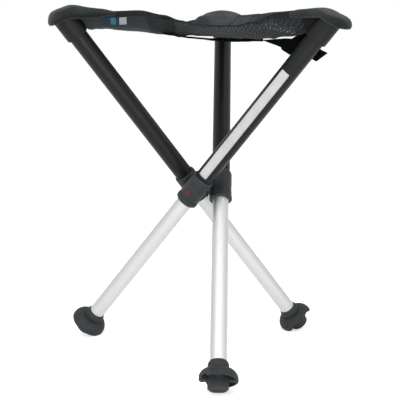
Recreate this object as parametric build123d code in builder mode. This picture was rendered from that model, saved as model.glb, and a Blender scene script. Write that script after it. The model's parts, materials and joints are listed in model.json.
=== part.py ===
"""Folding three-legged stool: crossed telescopic legs on a central hub, with a sling seat."""
import os
from math import cos, radians, sin, sqrt, tan

from build123d import *

# Driving dimensions, in millimetres and degrees
LEG_TILT = 40.0         # lean of every leg from the vertical when the seat is taut
LEG_OFFSET = 24.0       # from the hub's axis to each leg's centre line
HUB_X = 12.0            # hub's axis, counted from the middle of the footprint
HUB_Y = -5.0
LEG_ANGLE = 90.0        # where the upper end of leg c points; the legs are evenly spread

UPPER_R = 12.0          # black upper tube, outside
UPPER_WALL = 0.9
UPPER_FOOT = 8.0        # heights along a leg are counted from its pivot
UPPER_TOP = 293.0
LOWER_R = 10.6          # silver lower tube, outside
LOWER_WALL = 1.1
LOWER_TOP = 46.0

HOUSING_R = 14.5        # moulded joint housing round the leg
HOUSING_FOOT = -17.0
HOUSING_TOP = 25.0
CROWN = 3.0
LIP_R = 15.1            # lip and groove round the housing's lower end
LIP = 6.5
GROOVE = 2.0
GROOVE_DEPTH = 0.8
BEARING_R = 8.0         # round boss that bears on the hub

HUB_FACE = 7.5          # from the hub's axis to each bearing face
HUB_CORNER_R = 10.5
HUB_HEIGHT = 18.0
SCREW_R = 2.5
SCREW_HEAD_R = 4.5
SCREW_HEAD = 1.9
SCREW_TIP = 2.6         # from the hub's axis to the end of each screw

BUTTON_R = 3.5          # release button: rim and cap
BUTTON_RIM = 1.0
BUTTON_CAP_R = 2.9
BUTTON_TOP = 14.4       # from the leg's centre line to the cap's top
BUTTON_DOME = 0.7
DISH_R = 12.0           # hollow of the dished recess round the button
DISH_FLOOR = 13.2
CATCH_TIP = 11.9        # tip of the snap catch, inside the housing's wall
LEAF = 0.6
LEAF_WIDTH = 6.0
LEAF_TAIL = 34.0
LEAF_BEND = -14.0

SLEEVE_R = 14.6         # plastic sleeve round the upper tube's end
SLEEVE_FOOT = 262.0
PLUG_STEM = 22.0
PLUG_WALL = 2.0
PLUG_CAP = 2.0

FOOT_TOP = -244.0       # top of the rubber foot's collar
FOOT_SOCKET = 14.0
COLLAR_R = 13.2
COLLAR = 10.0
NECK_R = 12.4
RIM_R = 24.6
RIM_DROP = 25.5         # from the collar's top down to the rim
RIM_EDGE = 3.0
RIM_WALL = 2.2
SOLE_BOSS_R = 13.0
SOLE_BEVEL = 1.5
RIB_ANGLE = 26.0
FOOT_FLAT = 20.4        # trimmed sides, so that the folded feet lie together
SOLE_CUT = 0.8          # rubber pressed flat on the floor

POCKET_MOUTH = 285.0    # cloth hood over each leg's upper end
POCKET_WALL = 1.6
POCKET_BULGE_R = 19.4
POCKET_BULGE = 290.5
POCKET_TOP = 297.5

CLOTH = 2.0             # seat cloth
HEM_OUT = 10.0          # hems start this far outside the leg centres
HEM_BOW = 26.0          # and curve inwards this far
# Rows of the seat from the front hem to the rear corner: share of the reach, and the drop
# below the tube ends at seven even places from the left end to the right end
SEAT_ROWS = (
    (-0.56, (11.0, -9.0, -5.0, 8.0, 3.0, -9.0, 11.0)),
    (-0.40, (6.0, 1.0, 0.0, 13.0, 16.0, 14.0, 4.0)),
    (-0.24, (9.0, 12.0, 12.0, 24.0, 29.0, 20.0, -3.0)),
    (0.06, (11.0, 16.0, 21.0, 23.0, 23.0, 6.0, -6.0)),
    (0.40, (11.0, 15.0, 19.0, 17.0, 11.0, -2.0, -6.0)),
    (0.72, (4.0, 4.0, 6.0, 7.0, 4.0, -2.0, -4.0)),
    (0.95, (8.0, 2.0, -2.0, -3.0, -2.0, 2.0, 7.0)),
)
STRAP_LEG = "b"         # webbing strap behind one leg
STRAP_PLACE = 248.0
STRAP_WIDTH = 17.0
STRAP = 1.5
STRAP_TAB = 20.0        # reach of the loose tab beside the leg
STRAP_TONGUE = 33.0     # reach of the tongue towards the seat's hem
STRAP_DROP = 25.0

FIT = 0.05              # clearance of pieces that are pressed, screwed or turn together
RUN = 0.2               # clearance of sliding pieces
SOFT = 0.3              # clearance round cloth, and from a turning boss to the hub

# Derived places
UPPER_BORE = UPPER_R - UPPER_WALL
LOWER_BORE = LOWER_R - LOWER_WALL
LOWER_FOOT = FOOT_TOP - FOOT_SOCKET
HOUSING_BORE = LOWER_R + RUN
SCREW_SEAT = HOUSING_BORE + 2 * RUN + SCREW_HEAD
BUTTON_FOOT = CATCH_TIP + FIT
RIM_PLACE = FOOT_TOP - RIM_DROP
SOLE_BOSS_PLACE = RIM_PLACE - (RIM_R - SOLE_BOSS_R + SOLE_BEVEL) * tan(radians(LEG_TILT))
PIVOT_Z = RIM_R * sin(radians(LEG_TILT)) - RIM_PLACE * cos(radians(LEG_TILT)) - SOLE_CUT
POCKET_BORE = SLEEVE_R + SOFT
POCKET_ROOF = UPPER_TOP + FIT + PLUG_CAP + SOFT
SEAT_Z = PIVOT_Z + UPPER_TOP * cos(radians(LEG_TILT))
HUB = Vector(HUB_X, HUB_Y, PIVOT_Z)
LEGS = {key: LEG_ANGLE + 360 * place / 3 for place, key in enumerate("cab")}


def heading(azimuth):
    """Level direction at an azimuth."""
    return Vector(cos(radians(azimuth)), sin(radians(azimuth)), 0)


def leg_plane(azimuth):
    """Plane square to a leg at its pivot: x points out along the pivot axis, z up the leg."""
    side = heading(azimuth - 90)
    up = heading(azimuth) * sin(radians(LEG_TILT)) + Vector(0, 0, cos(radians(LEG_TILT)))
    return Plane(origin=HUB + side * LEG_OFFSET, x_dir=side, z_dir=up)


def profile_plane(leg, turn=0):
    """Plane through a leg's centre line: x points out from it at a turn, y up the leg."""
    out = leg.x_dir * cos(radians(turn)) + leg.y_dir * sin(radians(turn))
    return Plane(origin=leg.origin, x_dir=out, z_dir=out.cross(leg.z_dir))


def cross_plane(leg, reach=0):
    """Plane square to the pivot axis at a reach from the leg's centre line: x runs up the leg."""
    return Plane(origin=leg.origin + leg.x_dir * reach, x_dir=leg.z_dir, z_dir=leg.x_dir)


def pivot_plane(leg):
    """Level plane through the pivot axis: x runs out from the leg's centre line."""
    return Plane(origin=leg.origin, x_dir=leg.x_dir, z_dir=(0, 0, 1))


def leg_axis(leg):
    return Axis(leg.origin, leg.z_dir)


def pivot_axis(leg):
    return Axis(leg.origin, leg.x_dir)


def dome_radius(base_r, height):
    """Radius of a round dome that stands on a circle and rises to a height."""
    return (base_r**2 + height**2) / (2 * height)


def save(part, name):
    part.label = name
    export_step(part, f"parts/{name}.step")


def upper_tube(leg):
    with BuildPart() as tube:
        with BuildSketch(leg.offset(UPPER_FOOT)):
            Circle(UPPER_R)
            Circle(UPPER_BORE, mode=Mode.SUBTRACT)
        extrude(amount=UPPER_TOP - UPPER_FOOT)
    return tube.part


def lower_tube(leg):
    with BuildPart() as tube:
        with BuildSketch(leg.offset(LOWER_FOOT)):
            Circle(LOWER_R)
            Circle(LOWER_BORE, mode=Mode.SUBTRACT)
        extrude(amount=LOWER_TOP - LOWER_FOOT)
        # Hole that the snap catch stands out of
        with BuildSketch(cross_plane(leg)):
            Circle(BUTTON_R + RUN)
        extrude(amount=LOWER_R + RUN, mode=Mode.SUBTRACT)
    return tube.part


def glide_bush(leg):
    """Slide ring on the lower tube, which stops on the housing when the leg is drawn out."""
    with BuildPart() as bush:
        with BuildSketch(leg.offset(UPPER_FOOT + RUN)):
            Circle(UPPER_BORE - RUN / 2)
            Circle(LOWER_R + FIT / 2, mode=Mode.SUBTRACT)
        extrude(amount=LOWER_TOP - UPPER_FOOT - RUN)
    return bush.part


def joint_housing(leg):
    """Moulded barrel with a grooved lip, a bearing boss to the hub and a hole for the button."""
    socket_r = UPPER_R + FIT
    groove_foot = HOUSING_FOOT + LIP
    bearing = LEG_OFFSET - HUB_FACE - SOFT
    with BuildPart() as housing:
        with BuildSketch(profile_plane(leg)):
            with BuildLine():
                rim = Line((socket_r, HOUSING_TOP), (HOUSING_R - CROWN / 3, HOUSING_TOP))
                crown = RadiusArc(rim @ 1, (HOUSING_R, HOUSING_TOP - CROWN), 2 * CROWN)
                flank = Line(crown @ 1, (HOUSING_R, groove_foot + GROOVE))
                groove = ThreePointArc(
                    flank @ 1,
                    (HOUSING_R - GROOVE_DEPTH, groove_foot + GROOVE / 2),
                    (HOUSING_R, groove_foot),
                )
                Polyline(
                    groove @ 1,
                    (LIP_R, groove_foot - GROOVE),
                    (LIP_R, HOUSING_FOOT + GROOVE / 2),
                    (LIP_R - GROOVE / 2, HOUSING_FOOT),
                    (HOUSING_BORE, HOUSING_FOOT),
                    (HOUSING_BORE, UPPER_FOOT - FIT),
                    (socket_r, UPPER_FOOT - FIT),
                    rim @ 0,
                )
            make_face()
        revolve(axis=leg_axis(leg))
        # Bearing boss, which stops just short of the hub
        with BuildSketch(cross_plane(leg, -bearing)):
            Circle(BEARING_R)
        extrude(amount=bearing - UPPER_R)
        # Seat for the pivot screw's head, let in from the bore, and the screw's bearing hole
        with BuildSketch(cross_plane(leg)):
            Circle(SCREW_HEAD_R + RUN)
        extrude(amount=-SCREW_SEAT, mode=Mode.SUBTRACT)
        with BuildSketch(cross_plane(leg)):
            Circle(SCREW_R + FIT)
        extrude(amount=-LEG_OFFSET, mode=Mode.SUBTRACT)
        # Guide of the button's rim, and the smaller opening that holds it back
        with BuildSketch(cross_plane(leg)):
            Circle(BUTTON_R + RUN)
        extrude(amount=BUTTON_FOOT + BUTTON_RIM + FIT, mode=Mode.SUBTRACT)
        with BuildSketch(cross_plane(leg)):
            Circle(BUTTON_CAP_R + RUN)
        extrude(amount=LIP_R, mode=Mode.SUBTRACT)
        # Dished recess for a fingertip
        with BuildSketch(pivot_plane(leg)):
            with BuildLine():
                dish = RadiusArc((DISH_FLOOR, 0), (DISH_FLOOR + DISH_R, DISH_R), DISH_R)
                Polyline(dish @ 1, (DISH_FLOOR + DISH_R, 0), dish @ 0)
            make_face()
        revolve(axis=pivot_axis(leg), mode=Mode.SUBTRACT)
    return housing.part


def release_button(leg):
    """Domed cap on a rim that the housing holds back."""
    rim_top = BUTTON_FOOT + BUTTON_RIM
    with BuildPart() as button:
        with BuildSketch(pivot_plane(leg)):
            with BuildLine():
                side = Polyline(
                    (BUTTON_FOOT, 0),
                    (BUTTON_FOOT, BUTTON_R),
                    (rim_top, BUTTON_R),
                    (rim_top, BUTTON_CAP_R),
                    (BUTTON_TOP - BUTTON_DOME, BUTTON_CAP_R),
                )
                dome = dome_radius(BUTTON_CAP_R, BUTTON_DOME)
                cap = RadiusArc(side @ 1, (BUTTON_TOP, 0), dome)
                Line(cap @ 1, side @ 0)
            make_face()
        revolve(axis=pivot_axis(leg))
    return button.part


def snap_catch(leg):
    """Bent leaf spring inside the lower tube, with the catch that locks the leg."""
    wall = sqrt((LOWER_BORE - SOFT) ** 2 - (LEAF_WIDTH / 2) ** 2)
    head = wall - 2 * LEAF
    with BuildPart() as catch:
        with BuildSketch(profile_plane(leg)):
            with BuildLine():
                Polyline(
                    (head, BUTTON_R),
                    (head, -BUTTON_R),
                    (-wall + LEAF_WIDTH / 2, LEAF_BEND),
                    (-wall, LEAF_BEND + LEAF_WIDTH / 2),
                    (-wall, LEAF_TAIL),
                    (-wall + LEAF, LEAF_TAIL),
                    (-wall + LEAF, LEAF_BEND + LEAF_WIDTH / 2),
                    (-wall + LEAF_WIDTH / 2, LEAF_BEND + LEAF),
                    (head - LEAF, LEAF - BUTTON_R),
                    (head - LEAF, BUTTON_R),
                    close=True,
                )
            make_face()
        extrude(amount=LEAF_WIDTH / 2, both=True)
        with BuildSketch(cross_plane(leg, head - LEAF / 2)):
            Circle(BUTTON_R)
        extrude(amount=CATCH_TIP - head + LEAF / 2)
    return catch.part


def top_sleeve(leg):
    with BuildPart() as sleeve:
        with BuildSketch(leg.offset(SLEEVE_FOOT)):
            Circle(SLEEVE_R)
            Circle(UPPER_R + FIT, mode=Mode.SUBTRACT)
        extrude(amount=UPPER_TOP - SLEEVE_FOOT)
        chamfer(sleeve.edges().group_by(SortBy.LENGTH)[-1], POCKET_WALL / 4)
    return sleeve.part


def end_plug(leg):
    """Cap on the tube's end, with a hollow stem pressed into the bore."""
    stem_r = UPPER_BORE - FIT
    with BuildPart() as plug:
        with BuildSketch(leg.offset(UPPER_TOP + FIT)):
            Circle(SLEEVE_R)
        extrude(amount=PLUG_CAP)
        fillet(plug.faces().sort_by(leg_axis(leg))[-1].edges(), PLUG_CAP / 2)
        with BuildSketch(leg.offset(UPPER_TOP + FIT)):
            Circle(stem_r)
            Circle(stem_r - PLUG_WALL, mode=Mode.SUBTRACT)
        extrude(amount=-PLUG_STEM)
    return plug.part


def foot(leg):
    """Rubber foot: a collar on the tube, a bell with four pockets in its sole, and a boss."""
    neck = FOOT_TOP - COLLAR - (COLLAR_R - NECK_R)
    socket = LOWER_FOOT - FIT
    bell_top = (RIM_R - COLLAR_R / 3, neck - RIM_EDGE)
    with BuildPart() as rubber:
        with BuildSketch(profile_plane(leg)):
            with BuildLine():
                crown = ThreePointArc(
                    (LOWER_R + FIT, FOOT_TOP),
                    (COLLAR_R - RIM_EDGE / 4, FOOT_TOP - COLLAR / 4),
                    (COLLAR_R, FOOT_TOP - COLLAR / 2),
                )
                collar = Polyline(crown @ 1, (COLLAR_R, FOOT_TOP - COLLAR), (NECK_R, neck))
                bell = ThreePointArc(collar @ 1, bell_top, (RIM_R, RIM_PLACE + RIM_EDGE))
                Polyline(
                    bell @ 1,
                    (RIM_R, RIM_PLACE),
                    (SOLE_BOSS_R, RIM_PLACE),
                    (SOLE_BOSS_R, SOLE_BOSS_PLACE + SOLE_BEVEL),
                    (SOLE_BOSS_R - SOLE_BEVEL, SOLE_BOSS_PLACE),
                    (0, SOLE_BOSS_PLACE),
                    (0, socket),
                    (LOWER_R + FIT, socket),
                    crown @ 0,
                )
            make_face()
        revolve(axis=leg_axis(leg))
        # Four hollow pockets leave ribs between the boss and the rim
        for turn in (0, 90, 180, 270):
            with BuildSketch(profile_plane(leg, turn + RIB_ANGLE / 2)):
                with BuildLine():
                    mouth = Line((SOLE_BOSS_R, RIM_PLACE), (RIM_R - RIM_WALL, RIM_PLACE))
                    roof = ThreePointArc(
                        mouth @ 1,
                        (bell_top[0] - RIM_WALL, bell_top[1] - 2 * RIM_WALL),
                        (SOLE_BOSS_R, bell_top[1] - RIM_WALL),
                    )
                    Line(roof @ 1, mouth @ 0)
                make_face()
            revolve(axis=leg_axis(leg), revolution_arc=90 - RIB_ANGLE, mode=Mode.SUBTRACT)
        # Two trimmed sides face the neighbouring feet when the stool is folded
        for turn in (150, 210):
            side = profile_plane(leg, turn)
            trim = Plane(origin=leg.origin + side.x_dir * FOOT_FLAT, x_dir=leg.z_dir, z_dir=side.x_dir)
            with BuildSketch(trim):
                Rectangle(-4 * FOOT_TOP, 4 * RIM_R)
            extrude(amount=RIM_R, mode=Mode.SUBTRACT)
        # Rubber pressed flat on the floor
        with BuildSketch(Plane.XY):
            Rectangle(-4 * FOOT_TOP, -4 * FOOT_TOP)
        extrude(amount=-2 * RIM_R, mode=Mode.SUBTRACT)
    return rubber.part


def pocket_outline(leg, gap):
    """Outside of a cloth hood as a closed face on the leg's profile plane, grown by a gap."""
    with BuildSketch(profile_plane(leg)) as outline:
        with BuildLine():
            bulge_r = POCKET_BULGE_R + gap
            crown = POCKET_TOP - POCKET_BULGE + gap
            mouth = Line((0, POCKET_MOUTH - gap), (POCKET_BORE + POCKET_WALL + gap, POCKET_MOUTH - gap))
            swell = RadiusArc(mouth @ 1, (bulge_r, POCKET_BULGE), -3 * bulge_r)
            shoulder = RadiusArc(swell @ 1, (POCKET_BORE - POCKET_WALL, POCKET_BULGE + crown), -crown)
            Polyline(shoulder @ 1, (0, POCKET_BULGE + crown), mouth @ 0)
        make_face()
    return outline.sketch


def corner_pocket(leg):
    """Padded cloth hood sewn to a corner of the seat and pulled over the leg's upper end."""
    with BuildPart() as pocket:
        add(pocket_outline(leg, 0))
        revolve(axis=leg_axis(leg))
        with BuildSketch(leg.offset(POCKET_MOUTH)):
            Circle(POCKET_BORE)
        extrude(amount=POCKET_ROOF - POCKET_MOUTH, mode=Mode.SUBTRACT)
    return pocket.part


def closure_strap(leg):
    """Webbing strap that passes behind a leg, with a loose tab beside it."""
    lower = STRAP_PLACE - STRAP_WIDTH / 2
    upper = STRAP_PLACE + STRAP_WIDTH / 2
    tip = STRAP_PLACE - STRAP_DROP
    with BuildPart() as strap:
        with BuildSketch(cross_plane(leg, -UPPER_R - SOFT)):
            with BuildLine():
                Polyline(
                    (lower, STRAP_WIDTH / 4 - STRAP_TAB),
                    (upper, -STRAP_TAB),
                    (upper - STRAP_WIDTH / 2, STRAP_TAB),
                    (tip, STRAP_TONGUE),
                    (lower - STRAP_WIDTH, STRAP_TAB - STRAP_WIDTH / 4),
                    close=True,
                )
            make_face()
        extrude(amount=-STRAP)
    return strap.part


def hub_spider(legs):
    """Three-sided block with a bearing face and a screw hole for every leg."""
    with BuildPart() as hub:
        with BuildSketch(Plane.XY.offset(PIVOT_Z - HUB_HEIGHT / 2)):
            with Locations((HUB_X, HUB_Y)):
                Circle(HUB_CORNER_R)
        extrude(amount=HUB_HEIGHT)
        for leg in legs.values():
            with BuildSketch(cross_plane(leg, HUB_FACE - LEG_OFFSET)):
                Rectangle(4 * HUB_HEIGHT, 4 * HUB_CORNER_R)
            extrude(amount=HUB_CORNER_R, mode=Mode.SUBTRACT)
            with BuildSketch(cross_plane(leg, SCREW_TIP - LEG_OFFSET)):
                Circle(SCREW_R + FIT / 2)
            extrude(amount=HUB_FACE, mode=Mode.SUBTRACT)
    return hub.part


def pivot_screws(legs):
    """Shouldered screws that hold the housings to the hub and let them turn."""
    head_foot = HOUSING_BORE + RUN + SCREW_HEAD
    tip = LEG_OFFSET - SCREW_TIP
    with BuildPart() as screws:
        for leg in legs.values():
            with BuildSketch(cross_plane(leg, -tip)):
                Circle(SCREW_R)
            extrude(amount=tip - head_foot)
            with BuildSketch(cross_plane(leg, -head_foot)):
                Circle(SCREW_HEAD_R)
            extrude(amount=SCREW_HEAD)
    return screws.part


def seat_sling(legs):
    """Slack three-cornered seat cloth: a loft through sagging rows, trimmed to its hems."""
    ends = {key: leg.origin + leg.z_dir * UPPER_TOP for key, leg in legs.items()}
    rear = Vector(ends["c"].X - HUB_X, ends["c"].Y - HUB_Y, 0)
    reach = rear.length
    back = rear.normalized()
    with BuildPart() as sling:
        for share, drops in SEAT_ROWS:
            half = (1 - share) * reach * tan(radians(30)) + HEM_OUT
            row = Plane(
                origin=Vector(HUB_X, HUB_Y, SEAT_Z) + back * (share * reach),
                x_dir=back.cross(Vector(0, 0, 1)),
                z_dir=back * -1,
            )
            step = 2 * half / (len(drops) - 1)
            under = [(place * step - half, -drop) for place, drop in enumerate(drops)]
            over = [(x, y + CLOTH) for x, y in under]
            with BuildSketch(row):
                with BuildLine():
                    Spline(*under)
                    Line(under[-1], over[-1])
                    Spline(*over[::-1])
                    Line(over[0], under[0])
                make_face()
        loft()
        # Hems between neighbouring corners curve inwards
        with BuildSketch(Plane.XY):
            with BuildLine():
                hems = []
                for first, second in (("a", "b"), ("b", "c"), ("c", "a")):
                    middle = (ends[first] + ends[second]) * 0.5
                    out = Vector(middle.X - HUB_X, middle.Y - HUB_Y, 0).normalized()
                    start = ends[first] + out * HEM_OUT
                    bow = middle + out * (HEM_OUT - HEM_BOW)
                    finish = ends[second] + out * HEM_OUT
                    hems.append(ThreePointArc(*((p.X, p.Y) for p in (start, bow, finish))))
                for hem, following in zip(hems, hems[1:] + hems[:1]):
                    Line(hem @ 1, following @ 0)
            make_face()
        extrude(amount=2 * SEAT_Z, mode=Mode.INTERSECT)
        # Each corner ends on its hood and clear of the tube's end
        for leg in legs.values():
            add(pocket_outline(leg, SOFT))
            revolve(axis=leg_axis(leg), mode=Mode.SUBTRACT)
            with BuildSketch(leg.offset(SLEEVE_FOOT - SOFT)):
                Circle(SLEEVE_R + SOFT)
            extrude(amount=UPPER_TOP + FIT + PLUG_CAP + 2 * SOFT - SLEEVE_FOOT, mode=Mode.SUBTRACT)
    return sling.part


os.makedirs("parts", exist_ok=True)
LEG_PLANES = {key: leg_plane(azimuth) for key, azimuth in LEGS.items()}
LEG_PIECES = (
    upper_tube,
    lower_tube,
    glide_bush,
    joint_housing,
    release_button,
    snap_catch,
    top_sleeve,
    end_plug,
    foot,
    corner_pocket,
)
for key, plane in LEG_PLANES.items():
    for piece in LEG_PIECES:
        save(piece(plane), f"{piece.__name__}_{key}")
save(closure_strap(LEG_PLANES[STRAP_LEG]), "closure_strap")
save(hub_spider(LEG_PLANES), "hub_spider")
save(pivot_screws(LEG_PLANES), "pivot_screws")
save(seat_sling(LEG_PLANES), "seat_sling")
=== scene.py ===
# %% [markdown]
# Folding three-legged stool
#
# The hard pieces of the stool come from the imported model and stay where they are. This lesson gives
# them their finishes and makes the soft pieces with bmesh: a sling seat with a net middle, the padded
# hoods over the leg ends, and a webbing strap. Lengths are in metres.

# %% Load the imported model
import json
from math import atan2, cos, pi, radians, sin, tanh

import bmesh
import bpy
from mathutils import Matrix, Vector, noise


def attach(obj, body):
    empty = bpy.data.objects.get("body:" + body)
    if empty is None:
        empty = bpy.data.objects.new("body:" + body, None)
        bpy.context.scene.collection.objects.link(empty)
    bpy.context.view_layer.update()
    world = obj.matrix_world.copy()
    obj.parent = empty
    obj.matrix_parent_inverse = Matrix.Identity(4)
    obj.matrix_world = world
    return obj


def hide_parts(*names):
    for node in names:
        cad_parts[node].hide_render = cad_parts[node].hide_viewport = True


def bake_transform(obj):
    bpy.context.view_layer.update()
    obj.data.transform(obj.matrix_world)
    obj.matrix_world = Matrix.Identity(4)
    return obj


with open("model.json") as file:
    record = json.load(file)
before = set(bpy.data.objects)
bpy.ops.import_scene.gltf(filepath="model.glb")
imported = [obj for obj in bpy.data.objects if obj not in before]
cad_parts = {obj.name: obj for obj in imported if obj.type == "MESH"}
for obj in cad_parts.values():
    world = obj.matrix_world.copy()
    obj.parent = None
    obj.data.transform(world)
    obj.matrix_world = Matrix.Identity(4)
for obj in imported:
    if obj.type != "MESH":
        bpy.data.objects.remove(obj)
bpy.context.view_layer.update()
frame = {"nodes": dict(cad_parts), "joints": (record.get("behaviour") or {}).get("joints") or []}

# %% [markdown]
# The camera stands in front of the stool at the height of the seat and looks a little down. Its place,
# turn and lens were found by laying the straight tubes over the picture. The matrix is made from the
# three directions of the view, because a roll of less than a degree is awkward to type as angles.

# %% Camera
EYE = Vector((0.02835, -1.37472, 0.43509))
YAW, PITCH, ROLL = -0.014516, 0.165363, 0.014541
LENS = 93.56
ahead = Vector((sin(YAW) * cos(PITCH), cos(YAW) * cos(PITCH), -sin(PITCH)))
level = Vector((cos(YAW), -sin(YAW), 0))
rise = level.cross(ahead)
side = level * cos(ROLL) + rise * sin(ROLL)
over = rise * cos(ROLL) - level * sin(ROLL)
camera = bpy.data.objects.new("camera", bpy.data.cameras.new("camera"))
camera.data.lens = LENS
camera.matrix_world = Matrix.Translation(EYE) @ Matrix((side, over, -ahead)).transposed().to_4x4()
bpy.context.scene.collection.objects.link(camera)
bpy.context.scene.camera = camera
print("camera at", tuple(EYE), "lens", LENS)

# %% [markdown]
# The studio is a white sweep. The world is white where the camera or a reflection looks at it, and a
# plain grey where it lights the object. A large lamp overhead and smaller ones at the sides give the
# tubes their long soft highlights, and a low one in front lights the net's outer side. A white card close to
# the floor is only mirrored: leg a's tube shows it as a pale line.


# %% Studio
def lamp(name, place, aim, size, power):
    light = bpy.data.lights.new(name, "AREA")
    light.shape = "RECTANGLE"
    light.size, light.size_y = size
    light.energy = power
    holder = bpy.data.objects.new(name, light)
    holder.location = place
    holder.rotation_euler = (Vector(aim) - Vector(place)).to_track_quat("-Z", "Y").to_euler()
    bpy.context.scene.collection.objects.link(holder)
    return holder


def link(tree, *pairs):
    for out, into in pairs:
        tree.links.new(out, into)


def white_for_the_eye(tree):
    """One where a camera, mirror or see-through ray arrives, else zero."""
    path = tree.nodes.new("ShaderNodeLightPath")
    first = tree.nodes.new("ShaderNodeMath")
    first.operation = "MAXIMUM"
    second = tree.nodes.new("ShaderNodeMath")
    second.operation = "MAXIMUM"
    link(
        tree,
        (path.outputs["Is Camera Ray"], first.inputs[0]),
        (path.outputs["Is Glossy Ray"], first.inputs[1]),
        (first.outputs[0], second.inputs[0]),
        (path.outputs["Is Transmission Ray"], second.inputs[1]),
    )
    return second.outputs[0]


world = bpy.data.worlds.new("studio")
world.use_nodes = True
bpy.context.scene.world = world
sky = world.node_tree
sky.nodes.clear()
grey_light = sky.nodes.new("ShaderNodeBackground")
grey_light.inputs["Color"].default_value = (0.50, 0.51, 0.52, 1)
white_light = sky.nodes.new("ShaderNodeBackground")
white_light.inputs["Color"].default_value = (1, 1, 1, 1)
sky_mix = sky.nodes.new("ShaderNodeMixShader")
sky_out = sky.nodes.new("ShaderNodeOutputWorld")
link(
    sky,
    (white_for_the_eye(sky), sky_mix.inputs["Fac"]),
    (grey_light.outputs[0], sky_mix.inputs[1]),
    (white_light.outputs[0], sky_mix.inputs[2]),
    (sky_mix.outputs[0], sky_out.inputs["Surface"]),
)
lamp("top_lamp", (0.1, -0.9, 2.2), (0, 0, 0.2), (3.0, 1.2), 20)
lamp("left_lamp", (-1.6, -1.5, 1.7), (0, 0, 0.25), (1.1, 1.1), 12)
lamp("right_lamp", (1.9, -1.0, 1.3), (0, 0, 0.25), (1.2, 1.6), 4)
lamp("low_lamp", (-0.3, -2.2, 0.3), (0, 0, 0.4), (1.6, 0.5), 8)
card = lamp("white_card", (0.25, -0.78, 0.06), (-0.08, -0.04, 0.33), (0.40, 0.70), 4)
card.visible_diffuse = card.visible_camera = False
bpy.context.scene.view_settings.view_transform = "Standard"

# %% [markdown]
# The floor is a pale disc a hair below the feet. It takes the stool's shadow, and it shines a little of
# its own for the camera, so that it goes over into the white behind it.

# %% Floor
FLOOR_R = 30.0
disc = bmesh.new()
bmesh.ops.create_circle(disc, cap_ends=True, segments=96, radius=FLOOR_R)
bmesh.ops.translate(disc, verts=disc.verts, vec=(0, 0, -0.0005))
floor_mesh = bpy.data.meshes.new("floor")
disc.to_mesh(floor_mesh)
disc.free()
floor = bpy.data.objects.new("floor", floor_mesh)
bpy.context.scene.collection.objects.link(floor)
floor_paint = bpy.data.materials.new("pale_floor")
floor_paint.use_nodes = True
tree = floor_paint.node_tree
paint = tree.nodes["Principled BSDF"]
paint.inputs["Base Color"].default_value = (0.9, 0.9, 0.9, 1)
paint.inputs["Roughness"].default_value = 0.9
paint.inputs["Emission Color"].default_value = (1, 1, 1, 1)
glow = tree.nodes.new("ShaderNodeMath")
glow.operation = "MULTIPLY"
glow.inputs[1].default_value = 0.6
link(tree, (white_for_the_eye(tree), glow.inputs[0]), (glow.outputs[0], paint.inputs["Emission Strength"]))
floor.data.materials.append(floor_paint)

# %% [markdown]
# Every leg has its own directions: out along its pivot, square to that on the outer side, and up the
# leg. The imported joints hold the first and the last, so nothing is typed twice. The place of the tube's
# end is measured on its mesh.


# %% Leg directions
class Leg:
    def __init__(self, key):
        joints = {joint["name"]: joint for joint in frame["joints"]}
        fold = joints["fold_" + key]
        self.hub = Vector(fold["pos_m"])
        self.u = Vector(fold["axis"]).normalized()
        self.d = Vector(joints["telescope_" + key]["axis"]).normalized()
        self.v = self.d.cross(self.u)
        tube = [vert.co for vert in frame["nodes"]["upper_tube_" + key].data.vertices]
        offsets = [(point - self.hub).dot(self.u) for point in tube]
        self.offset = (min(offsets) + max(offsets)) / 2
        self.radius = (max(offsets) - min(offsets)) / 2
        self.foot = self.hub + self.u * self.offset
        self.top = max((point - self.foot).dot(self.d) for point in tube)
        self.end = self.foot + self.d * self.top
        self.turn = Matrix((self.u, self.v, self.d)).transposed()

    def at(self, u, v, s):
        """Point at a reach along the pivot, square to it, and up the leg."""
        return self.foot + self.u * u + self.v * v + self.d * s


legs = {key: Leg(key) for key in "abc"}
hub = legs["a"].hub
print("tube ends", {key: tuple(round(x, 4) for x in leg.end) for key, leg in legs.items()})

# %% [markdown]
# Finishes. Each one is a small node tree: a slow noise varies the colour and the gloss, a fine one gives
# the grain, and a bump node turns the grain into relief. Tubes read their own leg's directions through
# a Mapping node, so that the fine drawing lines run along the tube.


# %% Helpers for finishes
def blank_finish(name, colour, rough, metal=0.0):
    made = bpy.data.materials.new(name)
    made.use_nodes = True
    shader = made.node_tree.nodes["Principled BSDF"]
    shader.inputs["Base Color"].default_value = (*colour, 1)
    shader.inputs["Roughness"].default_value = rough
    shader.inputs["Metallic"].default_value = metal
    return made, made.node_tree, shader


def places(tree, leg=None, stretch=1.0):
    """Object coordinates, turned into a leg's own directions and drawn out along it."""
    coords = tree.nodes.new("ShaderNodeTexCoord")
    if leg is None:
        return coords.outputs["Object"]
    turned = tree.nodes.new("ShaderNodeMapping")
    turned.vector_type = "TEXTURE"
    turned.inputs["Location"].default_value = leg.foot
    turned.inputs["Rotation"].default_value = leg.turn.to_euler()
    turned.inputs["Scale"].default_value = (1, 1, stretch)
    link(tree, (coords.outputs["Object"], turned.inputs["Vector"]))
    return turned.outputs["Vector"]


def speckle(tree, vector, scale, detail=2.0):
    grain = tree.nodes.new("ShaderNodeTexNoise")
    grain.inputs["Scale"].default_value = scale
    grain.inputs["Detail"].default_value = detail
    link(tree, (vector, grain.inputs["Vector"]))
    return grain.outputs["Fac"]


def spread(tree, value, low, high, start=0.3, stop=0.7):
    """A value between two limits, spread over a new range."""
    moved = tree.nodes.new("ShaderNodeMapRange")
    for name, number in (("From Min", start), ("From Max", stop), ("To Min", low), ("To Max", high)):
        moved.inputs[name].default_value = number
    link(tree, (value, moved.inputs["Value"]))
    return moved.outputs["Result"]


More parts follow.
